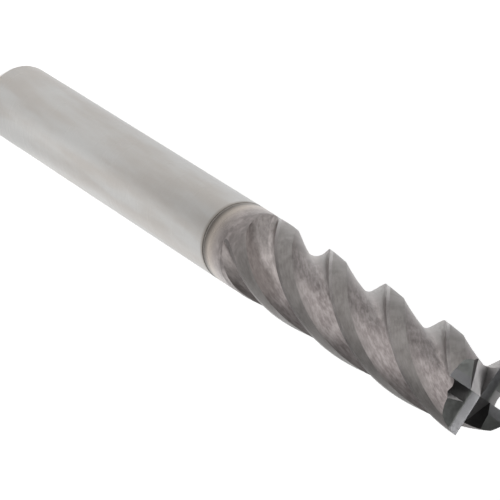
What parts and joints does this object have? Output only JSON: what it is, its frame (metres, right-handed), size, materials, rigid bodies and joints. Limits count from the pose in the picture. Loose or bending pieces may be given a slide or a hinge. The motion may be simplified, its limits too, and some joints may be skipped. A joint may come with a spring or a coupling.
{
  "type": "end mill",
  "caption": "Square-end end mill with helical flutes: a fluted, coated cutter head brazed to a plain round ground shank.",
  "frame": {"origin": "centre of the shank's flat end face, the end opposite the teeth", "axes": "+Z along the tool's axis, from the shank's end face to the cutting end; a cutting corner lies over each of +X, +Y, -X and -Y"},
  "size_m": [0.0126, 0.0126, 0.1524],
  "materials": {
    "ground_shank": "satin cylindrical-ground bare metal, light grey",
    "braze_filler": "dark, dull brazing filler with heat stain",
    "coated_carbide": "ground carbide with a thin purple-brown grey coating, satin, paler where the grinding marks show"
  },
  "bodies": {
    "root": {"shank": "ground_shank", "braze_joint": "braze_filler", "cutter_head": "coated_carbide"}
  },
  "joints": []
}
